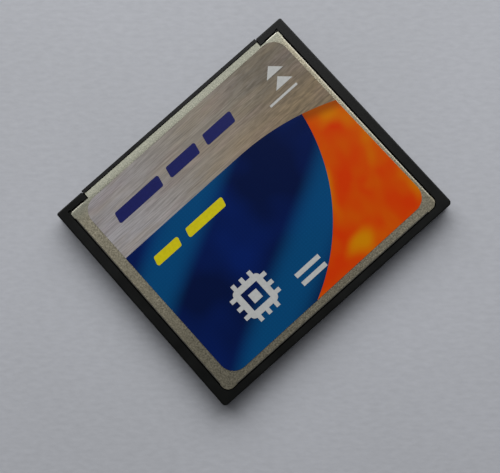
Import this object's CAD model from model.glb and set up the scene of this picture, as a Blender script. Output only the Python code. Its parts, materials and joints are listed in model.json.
import json
from math import cos, radians, sin

import bpy
from mathutils import Euler, Matrix, Vector


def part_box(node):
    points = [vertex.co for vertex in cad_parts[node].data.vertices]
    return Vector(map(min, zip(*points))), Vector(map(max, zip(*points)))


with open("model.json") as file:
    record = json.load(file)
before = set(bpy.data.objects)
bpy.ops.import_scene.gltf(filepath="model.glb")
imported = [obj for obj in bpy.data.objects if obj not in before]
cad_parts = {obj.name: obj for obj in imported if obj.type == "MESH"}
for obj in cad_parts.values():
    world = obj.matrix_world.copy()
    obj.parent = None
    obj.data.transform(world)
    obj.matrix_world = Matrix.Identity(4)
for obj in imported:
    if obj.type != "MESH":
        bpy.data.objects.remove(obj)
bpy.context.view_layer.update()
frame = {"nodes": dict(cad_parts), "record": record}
nodes = frame["nodes"]

MM = 0.001

# The label lies a little askew, and its brushed lines and its weave turn with it
LABEL_TURN = radians(0.45)

# Noise lies mostly between these two values
NOISE_LOW = 0.3
NOISE_HIGH = 0.7


def linear(*rgb):
    """A colour in the 0 to 255 values that a screen shows, as linear values by the sRGB curve."""
    values = []
    for value in rgb:
        share = value / 255
        values.append(share / 12.92 if share <= 0.04045 else ((share + 0.055) / 1.055) ** 2.4)
    return (*values, 1.0)


def toned(colour, share):
    """A linear colour made darker or paler by a share."""
    return (*[min(1.0, value * share) for value in colour[:3]], 1.0)


def edges(node):
    """The left, right, rear and front edge of a node, in millimetres."""
    low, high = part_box(node)
    return low.x / MM, high.x / MM, low.y / MM, high.y / MM


class Shader:
    """A node material with one Principled shader, and short calls for the nodes that feed it."""

    def __init__(self, name):
        self.material = bpy.data.materials.new(name)
        self.material.use_nodes = True
        self.tree = self.material.node_tree
        self.principled = self.tree.nodes["Principled BSDF"]
        self.coords = self.add("ShaderNodeTexCoord").outputs

    def put(self, socket, value):
        """Links a socket to another node's output, or sets its value."""
        if isinstance(value, bpy.types.NodeSocket):
            self.tree.links.new(value, socket)
        else:
            socket.default_value = value

    def add(self, kind, inputs=None, **settings):
        """A new node with its settings, and what goes into its sockets."""
        node = self.tree.nodes.new(kind)
        for key, value in settings.items():
            setattr(node, key, value)
        for key, value in (inputs or {}).items():
            self.put(node.inputs[key], value)
        return node

    def set(self, **values):
        """Sets the Principled shader's sockets, with underscores for spaces."""
        for key, value in values.items():
            self.put(self.principled.inputs[key.replace("_", " ")], value)

    def cells(self, size, turn=0.0, middle=(0, 0, 0)):
        """Object coordinates counted in cells of a size in millimetres, turned about Z.

        The size is one number, or a cell's lengths along X, Y and Z.
        """
        lengths = size if isinstance(size, tuple) else (size, size, size)
        inputs = {
            "Vector": self.coords["Object"],
            "Location": [value * MM for value in middle],
            "Rotation": (0, 0, turn),
            "Scale": [value * MM for value in lengths],
        }
        return self.add("ShaderNodeMapping", inputs, vector_type="TEXTURE").outputs["Vector"]

    def axis(self, name):
        """The object's own X, Y or Z in millimetres."""
        return self.add("ShaderNodeSeparateXYZ", {"Vector": self.cells(1)}).outputs[name]

    def noise(self, size, turn=0.0, middle=(0, 0, 0), detail=2, roughness=0.5):
        """Noise whose cells have this size, turn and middle."""
        inputs = {
            "Vector": self.cells(size, turn, middle),
            "Scale": 1,
            "Detail": detail,
            "Roughness": roughness,
        }
        return self.add("ShaderNodeTexNoise", inputs).outputs["Fac"]

    def remap(self, value, low, high, to_low=0.0, to_high=1.0, smooth=False):
        """A value's range from low to high, turned into another range and held at its ends."""
        interpolation = "SMOOTHSTEP" if smooth else "LINEAR"
        node = self.add("ShaderNodeMapRange", interpolation_type=interpolation)
        for socket, item in zip(node.inputs, (value, low, high, to_low, to_high)):
            self.put(socket, item)
        return node.outputs["Result"]

    def spread(self, noise, to_low, to_high):
        """Noise turned into another range."""
        return self.remap(noise, NOISE_LOW, NOISE_HIGH, to_low, to_high)

    def patches(self, noise, start, full, most=1.0, smooth=False):
        """0 where noise is under start, and from there up to most, where it is over full."""
        return self.remap(noise, start, full, 0, most, smooth)

    def calculate(self, operation, first, second=0.0):
        node = self.add("ShaderNodeMath", {0: first, 1: second}, operation=operation)
        return node.outputs["Value"]

    def times(self, first, second):
        return self.calculate("MULTIPLY", first, second)

    def plus(self, first, second):
        return self.calculate("ADD", first, second)

    def mix(self, share, first, second, blend="MIX"):
        """The first colour, with a share of the second one over it."""
        node = self.add("ShaderNodeMix", data_type="RGBA", blend_type=blend)
        values = {"Factor_Float": share, "A_Color": first, "B_Color": second}
        for socket in node.inputs:
            if socket.identifier in values:
                self.put(socket, values[socket.identifier])
        return next(socket for socket in node.outputs if socket.identifier == "Result_Color")

    def shaded(self, colour, share):
        """A colour made darker or paler from place to place."""
        grey = self.add("ShaderNodeCombineColor", {"Red": share, "Green": share, "Blue": share})
        return self.mix(1.0, colour, grey.outputs["Color"], blend="MULTIPLY")

    def folded(self, flat=0.995, steep=0.9):
        """From 0 on the flat sheet to 1 on its folds, as the normal's upright part falls."""
        node = self.add("ShaderNodeSeparateXYZ", {"Vector": self.coords["Normal"]})
        return self.remap(self.calculate("ABSOLUTE", node.outputs["Z"]), flat, steep)

    def bump(self, height):
        """Relief of the surface, with its height in millimetres."""
        node = self.add("ShaderNodeBump", {"Height": height, "Distance": MM})
        self.set(Normal=node.outputs["Normal"])


def moulded_plastic(name, colour, roughness=0.4):
    """Black moulded plastic with a fine sparked grain and a few faint scuffs."""
    grain_size = 0.12
    grain_depth = 0.006
    cloud_size = 3
    cloud_colour = toned(colour, 1.5)
    least_roughness = roughness - 0.03
    most_roughness = roughness + 0.05
    scuff_size = (1.6, 0.15, 0.15)
    scuff_turn = radians(30)
    scuff_colour = linear(60, 60, 58)

    shader = Shader(name)
    grain = shader.noise(grain_size)
    cloud = shader.noise(cloud_size, detail=3)
    scuffs = shader.noise(scuff_size, scuff_turn, detail=3)
    shade = shader.mix(shader.patches(cloud, start=0.35, full=0.7), colour, cloud_colour)
    scuffed = shader.patches(scuffs, start=0.68, full=0.8, most=0.25)
    shade = shader.mix(scuffed, shade, scuff_colour)
    rough = shader.spread(cloud, least_roughness, most_roughness)
    shader.set(Base_Color=shade, Roughness=rough, Specular_IOR_Level=0.17)
    shader.bump(shader.times(grain, grain_depth))
    return shader.material


def blasted_steel(name):
    """Warm grey sheet steel with a fine speckle, paler where it is folded and darker to the rear.

    Its front edge is cooler and smoother, and leans down, more so to the left. Its right edge
    starts to round off just before the fold.
    """
    grain_size = 0.23
    grain_depth = 0.009
    clump_size = 0.7
    clump_depth = 0.008
    clump_roughness = 0.4
    base_roughness = 0.46
    cloud_size = 9
    dark_grain = linear(117, 113, 98)
    pale_grain = linear(165, 159, 140)
    cloud_colour = linear(134, 126, 106)
    front_colour = linear(125, 130, 121)
    fold_colour = linear(238, 234, 220)
    fold_polish = 0.02
    fold_relief = 0.25

    # Places on the sheet, and what changes there
    left, right, rear, front = edges("top_cover")
    left_light = 1.1
    right_light = 0.98
    rear_light = 0.83
    rear_shade_end = rear + 19
    front_tint_start = front - 3.6
    front_tint_end = front - 0.6
    front_tint = 0.6
    front_relief = 0.45
    lean_start = front - 1.2
    lean_end = front + 0.8
    lean_drop = 0.14
    lean_left_place = left + 4.8
    lean_right_place = right - 4.8
    lean_left_share = 1.2
    lean_right_share = 0.1
    crown_start = right - 0.32
    crown_end = right - 0.02
    crown_drop = 0.02

    shader = Shader(name)
    across = shader.axis("X")
    forwards = shader.axis("Y")
    grain = shader.noise(grain_size)
    clumps = shader.noise(clump_size)
    cloud = shader.noise(cloud_size)
    folded = shader.folded()

    shade = shader.mix(shader.patches(grain, start=0.35, full=0.65), dark_grain, pale_grain)
    clouded = shader.patches(cloud, start=0.4, full=0.7, most=0.3)
    shade = shader.mix(clouded, shade, cloud_colour)
    shade = shader.shaded(shade, shader.remap(across, left, right, left_light, right_light))
    rear_shade = shader.remap(forwards, rear, rear_shade_end, rear_light, 1, smooth=True)
    shade = shader.shaded(shade, rear_shade)
    tint = shader.remap(forwards, front_tint_start, front_tint_end, 0, front_tint, smooth=True)
    shade = shader.mix(tint, shade, front_colour)
    shade = shader.mix(folded, shade, fold_colour)
    rough = shader.spread(clumps, base_roughness, clump_roughness)
    rough = shader.plus(rough, shader.times(folded, -fold_polish))
    shader.set(Base_Color=shade, Metallic=1.0, Roughness=rough)

    relief = shader.plus(shader.times(grain, grain_depth), shader.times(clumps, clump_depth))
    relief = shader.times(relief, shader.remap(folded, 0, 1, 1, fold_relief))
    smoother = shader.remap(forwards, lean_start, front_tint_end, 1, front_relief)
    relief = shader.times(relief, smoother)
    lean = shader.remap(forwards, lean_start, lean_end, 0, -lean_drop, smooth=True)
    lean_places = (lean_left_place, lean_right_place)
    lean_share = shader.remap(across, *lean_places, lean_left_share, lean_right_share)
    lean = shader.times(lean, lean_share)
    crown = shader.remap(across, crown_start, crown_end, 0, -crown_drop, smooth=True)
    shader.bump(shader.plus(shader.plus(relief, lean), crown))
    return shader.material


def brushed_film(name):
    """Silver label film: fine brushed lines, greyer to the left, warmer and darker to the right."""
    line_size = (4.0, 0.15, 1)
    line_depth = 0.002
    line_contrast = 0.24
    thread_size = (3.0, 0.1, 1)
    thread_contrast = 0.1
    warm_patch_size = (9, 2.2, 1)
    rosy_patch_size = (7, 1.8, 1)
    dull_patch_size = (1.3, 0.3, 1)
    left_colour = linear(146, 143, 145)
    middle_colour = linear(133, 126, 116)
    right_colour = linear(104, 97, 86)
    warm_patch_colour = linear(136, 120, 92)
    rosy_patch_colour = linear(140, 122, 122)
    dull_patch_colour = linear(82, 72, 58)
    rear_colour = linear(144, 120, 84)

    # Places on the label, of which the silver is the front part
    left, right, _, front = edges("label_film")
    middle = (left + right) / 2
    middling_start = left + 1.2
    middling_end = middle + 1.5
    rightwards_start = middle + 0.5
    rightwards_end = right - 2.3
    rear_start = front - 4.1
    rear_end = front - 9.1
    rear_neutral = middle - 4.5
    rear_pale_end = left + 6.2
    rear_warm_end = middle + 5.5
    rear_paleness = 0.09
    rear_warmth = 0.4
    dull_start = middle + 1.5
    dull_end = right - 4.3
    left_dullness = 0.1
    right_dullness = 0.45

    shader = Shader(name)
    across = shader.axis("X")
    lines = shader.noise(line_size, LABEL_TURN, detail=3, roughness=0.6)
    threads = shader.noise(thread_size, LABEL_TURN)
    warm_patches = shader.noise(warm_patch_size, LABEL_TURN, middle=(3, 1, 0))
    rosy_patches = shader.noise(rosy_patch_size, LABEL_TURN, middle=(-5, 2, 0))
    dull_patches = shader.noise(dull_patch_size, LABEL_TURN, middle=(2, 5, 0), detail=3)

    # The colour from left to right, and its patches
    middling = shader.remap(across, middling_start, middling_end, smooth=True)
    shade = shader.mix(middling, left_colour, middle_colour)
    rightwards = shader.remap(across, rightwards_start, rightwards_end, smooth=True)
    shade = shader.mix(rightwards, shade, right_colour)
    warm = shader.patches(warm_patches, start=0.45, full=0.68, most=0.3)
    shade = shader.mix(warm, shade, warm_patch_colour)
    rosy = shader.patches(rosy_patches, start=0.5, full=0.7, most=0.25)
    shade = shader.mix(rosy, shade, rosy_patch_colour)

    # Rearwards it is paler on the left and warmer on the right
    rearwards = shader.remap(shader.axis("Y"), rear_start, rear_end, smooth=True)
    paler = shader.remap(across, rear_neutral, rear_pale_end, 0, rear_paleness)
    paler = shader.times(rearwards, paler)
    shade = shader.shaded(shade, shader.plus(paler, 1))
    warmer = shader.remap(across, rear_neutral, rear_warm_end, 0, rear_warmth, smooth=True)
    shade = shader.mix(shader.times(rearwards, warmer), shade, rear_colour)

    # Dull patches, mostly on the right, and the brushed lines
    dull = shader.remap(across, dull_start, dull_end, left_dullness, right_dullness, smooth=True)
    dull = shader.times(dull, shader.patches(dull_patches, start=0.42, full=0.62))
    shade = shader.mix(dull, shade, dull_patch_colour)
    line_shade = shader.spread(lines, 1 - line_contrast, 1 + line_contrast)
    shade = shader.shaded(shade, line_shade)
    thread_shade = shader.spread(threads, 1 - thread_contrast, 1 + thread_contrast)
    shade = shader.shaded(shade, thread_shade)
    shader.set(Base_Color=shade, Metallic=0.0, Roughness=0.42, Specular_IOR_Level=0.2)
    shader.bump(shader.times(lines, line_depth))
    return shader.material


def finish_print(shader, shade):
    """Gives the large printed fields their gloss and their slightly uneven lay."""
    lay_size = 0.3
    lay_depth = 0.0008
    shader.set(Base_Color=shade, Roughness=0.25, Specular_IOR_Level=0.08)
    shader.bump(shader.times(shader.noise(lay_size), lay_depth))
    return shader.material


def blue_ink(name):
    """Deep blue field crossed by wide soft diagonal bands, with a faint square weave."""
    band_cell = 20
    band_turn = radians(-58)
    drift_size = 9
    weave_size = (0.42, 0.42, 100)
    square_middle = 0.1
    square_edge = 0.5
    middle_light = 1.05
    edge_light = 0.94
    dark_blue = linear(6, 19, 58)
    mid_blue = linear(7, 29, 88)
    band_blue = linear(7, 72, 118)

    shader = Shader(name)
    band_inputs = {
        "Vector": shader.cells(band_cell, band_turn),
        "Scale": 0.35,
        "Distortion": 1.2,
        "Detail": 1,
    }
    bands = shader.add("ShaderNodeTexWave", band_inputs)
    drift = shader.noise(drift_size, middle=(31, 17, 0), detail=1)
    shade = shader.mix(shader.patches(drift, start=0.35, full=0.65), dark_blue, mid_blue)
    lit = shader.patches(bands.outputs["Fac"], start=0.45, full=1, most=0.85, smooth=True)
    shade = shader.mix(lit, shade, band_blue)
    weave_inputs = {"Vector": shader.cells(weave_size, LABEL_TURN), "Scale": 1, "Randomness": 0}
    weave = shader.add("ShaderNodeTexVoronoi", weave_inputs, distance="CHEBYCHEV")
    distance = weave.outputs["Distance"]
    squares = shader.remap(distance, square_middle, square_edge, middle_light, edge_light)
    return finish_print(shader, shader.shaded(shade, squares))


def orange_ink(name):
    """Red-orange field with free, soft amber clouds, and a darker edge beside the silver."""
    cloud_size = (6.5, 5.0, 6)
    cloud_turn = radians(35)
    drift_size = (3.5, 5.0, 4)
    drift_turn = radians(-20)
    red_orange = linear(194, 52, 3)
    mid_orange = linear(192, 74, 3)
    amber = linear(190, 138, 2)
    edge_red = linear(112, 24, 12)

    # The edge to the silver falls by this share to the right. The red deepens between two lines
    # beside it, which are this far in front of the card's middle where X is 0.
    edge_slope = 0.32
    edge_start = 8.0
    edge_end = 9.6
    edge_depth = 0.6

    shader = Shader(name)
    cloud = shader.noise(cloud_size, cloud_turn, middle=(12, 7, 0), detail=1)
    drift = shader.noise(drift_size, drift_turn, middle=(5, 9, 0), detail=1)
    shade = shader.mix(shader.patches(drift, start=0.35, full=0.65), red_orange, mid_orange)
    clouded = shader.patches(cloud, start=0.45, full=0.75, most=0.7, smooth=True)
    shade = shader.mix(clouded, shade, amber)
    edgewards = shader.plus(shader.axis("Y"), shader.times(shader.axis("X"), edge_slope))
    edge = shader.remap(edgewards, edge_start, edge_end, 0, edge_depth, smooth=True)
    return finish_print(shader, shader.mix(edge, shade, edge_red))


def plain_ink(name, colour, roughness=0.35):
    """Flat printing ink with a slightly uneven lay."""
    lay_size = 0.4
    lay_depth = 0.001
    thick_colour = toned(colour, 0.88)
    shader = Shader(name)
    lay = shader.noise(lay_size, detail=3)
    shade = shader.mix(shader.spread(lay, 0, 1), colour, thick_colour)
    shader.set(Base_Color=shade, Roughness=roughness, Specular_IOR_Level=0.15)
    shader.bump(shader.times(lay, lay_depth))
    return shader.material


def plated_metal(name, colour, roughness=0.25):
    """Plated contact or lead with slightly dulled patches."""
    patch_size = 0.2
    patch_colour = toned(colour, 0.75)
    patch_roughness = roughness + 0.12
    shader = Shader(name)
    patches = shader.noise(patch_size)
    dulled = shader.patches(patches, start=0.4, full=0.8, most=0.6)
    rough = shader.spread(patches, roughness, patch_roughness)
    shade = shader.mix(dulled, colour, patch_colour)
    shader.set(Base_Color=shade, Metallic=1.0, Roughness=rough)
    return shader.material


def board_laminate(name):
    """Green solder resist with faint darker tracks."""
    track_size = 0.8
    track_depth = 0.01
    track_green = linear(14, 70, 40)
    board_green = linear(20, 90, 50)
    shader = Shader(name)
    tracks = shader.noise(track_size, detail=1)
    shade = shader.mix(shader.patches(tracks, start=0.45, full=0.55), track_green, board_green)
    shader.set(Base_Color=shade, Roughness=0.3)
    shader.bump(shader.times(tracks, track_depth))
    return shader.material


materials = {
    "frame_plastic": moulded_plastic("frame plastic", linear(6, 7, 6)),
    "housing_plastic": moulded_plastic("housing plastic", linear(24, 24, 24), roughness=0.34),
    "chip_moulding": moulded_plastic("chip moulding", linear(22, 22, 23), roughness=0.6),
    "cover_steel": blasted_steel("cover steel"),
    "contact_plating": plated_metal("contact plating", linear(222, 188, 110)),
    "tinned_leads": plated_metal("tinned leads", linear(190, 190, 188), roughness=0.3),
    "board_laminate": board_laminate("board laminate"),
    "insulating_film": plain_ink("insulating film", linear(186, 130, 40), roughness=0.25),
    "crystal_case": plain_ink("crystal case", linear(150, 145, 130)),
    "ceramic_parts": plain_ink("ceramic parts", linear(165, 135, 98)),
    "resistor_ceramic": plain_ink("resistor ceramic", linear(32, 32, 34)),
    "label_silver": brushed_film("label silver"),
    "print_blue": blue_ink("blue print"),
    "print_orange": orange_ink("orange print"),
    "print_dark_blue": plain_ink("dark blue print", linear(22, 27, 88)),
    "print_white": plain_ink("white print", linear(182, 183, 181)),
    "print_yellow": plain_ink("yellow print", linear(200, 188, 14)),
}

for part in frame["record"]["subparts"]:
    piece = nodes[part["node"]]
    piece.data.materials.clear()
    piece.data.materials.append(materials[part["material_slot"]])


def paper_floor():
    """Pale cool grey paper under the card, with fine ripples and a faint tooth, paler far away."""
    floor_width = 8
    floor_drop = 0.02 * MM
    tooth_size = 0.8
    tooth_depth = 0.02
    ripple_size = (1.5, 0.55, 1)
    ripple_turn = radians(-42)
    ripple_contrast = 0.04
    cloud_size = 50
    dark_paper = linear(172, 174, 179)
    pale_paper = linear(178, 180, 186)
    far_paper = linear(238, 239, 242)
    far_start = 120
    far_end = 500

    bpy.ops.mesh.primitive_plane_add(size=floor_width, location=(0, 0, -floor_drop))
    floor = bpy.context.active_object
    floor.name = "floor"
    shader = Shader("paper")
    tooth = shader.noise(tooth_size, detail=4)
    ripples = shader.noise(ripple_size, ripple_turn, detail=3)
    cloud = shader.noise(cloud_size)
    shade = shader.mix(shader.spread(cloud, 0, 1), dark_paper, pale_paper)
    distance = shader.add("ShaderNodeVectorMath", {0: shader.cells(1)}, operation="LENGTH")
    far = shader.remap(distance.outputs["Value"], far_start, far_end, smooth=True)
    shade = shader.mix(far, shade, far_paper)
    ripple_shade = shader.spread(ripples, 1 - ripple_contrast, 1 + ripple_contrast)
    shade = shader.shaded(shade, ripple_shade)
    shader.set(Base_Color=shade, Roughness=0.85, Specular_IOR_Level=0.2)
    shader.bump(shader.times(tooth, tooth_depth))
    floor.data.materials.append(shader.material)


def soft_lamp(name, heading, elevation, distance, size, power):
    """A rectangular lamp that faces the card from a heading, counted from the card's right."""
    level = distance * cos(elevation)
    place = Vector((level * cos(heading), level * sin(heading), distance * sin(elevation)))
    lamp = bpy.data.lights.new(name, "AREA")
    lamp.shape = "RECTANGLE"
    lamp.size, lamp.size_y = size
    lamp.energy = power
    holder = bpy.data.objects.new(name, lamp)
    holder.location = place
    holder.rotation_euler = (-place).to_track_quat("-Z", "Y").to_euler()
    bpy.context.scene.collection.objects.link(holder)


def dim_room(colour, strength):
    """Even light from all around."""
    world = bpy.data.worlds.new("studio")
    world.use_nodes = True
    background = world.node_tree.nodes["Background"]
    background.inputs["Color"].default_value = colour
    background.inputs["Strength"].default_value = strength
    bpy.context.scene.world = world


paper_floor()

# One large window-like lamp beyond the card's front right corner, in metres and watts
soft_lamp(
    "key_light",
    heading=radians(50),
    elevation=radians(44),
    distance=0.45,
    size=(0.75, 0.4),
    power=3.5,
)
dim_room(colour=(0.93, 0.95, 1.0, 1), strength=0.1)

# Camera: found by fitting the card's straight edges in the photograph to its standard outline
PHOTO_WIDTH = 500
FOCAL_PIXELS = 1000
SENSOR = 36.0
NEAREST_SEEN = 0.01
CAMERA_PLACE = Vector((-9.198, -17.339, 143.395)) * MM
CAMERA_TURN = Euler((radians(6.122), radians(2.069), radians(-41.682)))

camera_data = bpy.data.cameras.new("camera")
camera_data.sensor_width = SENSOR
camera_data.lens = SENSOR * FOCAL_PIXELS / PHOTO_WIDTH
camera_data.clip_start = NEAREST_SEEN
camera = bpy.data.objects.new("camera", camera_data)
camera.matrix_world = Matrix.Translation(CAMERA_PLACE) @ CAMERA_TURN.to_matrix().to_4x4()
bpy.context.scene.collection.objects.link(camera)
bpy.context.scene.camera = camera
bpy.context.scene.view_settings.view_transform = "Standard"
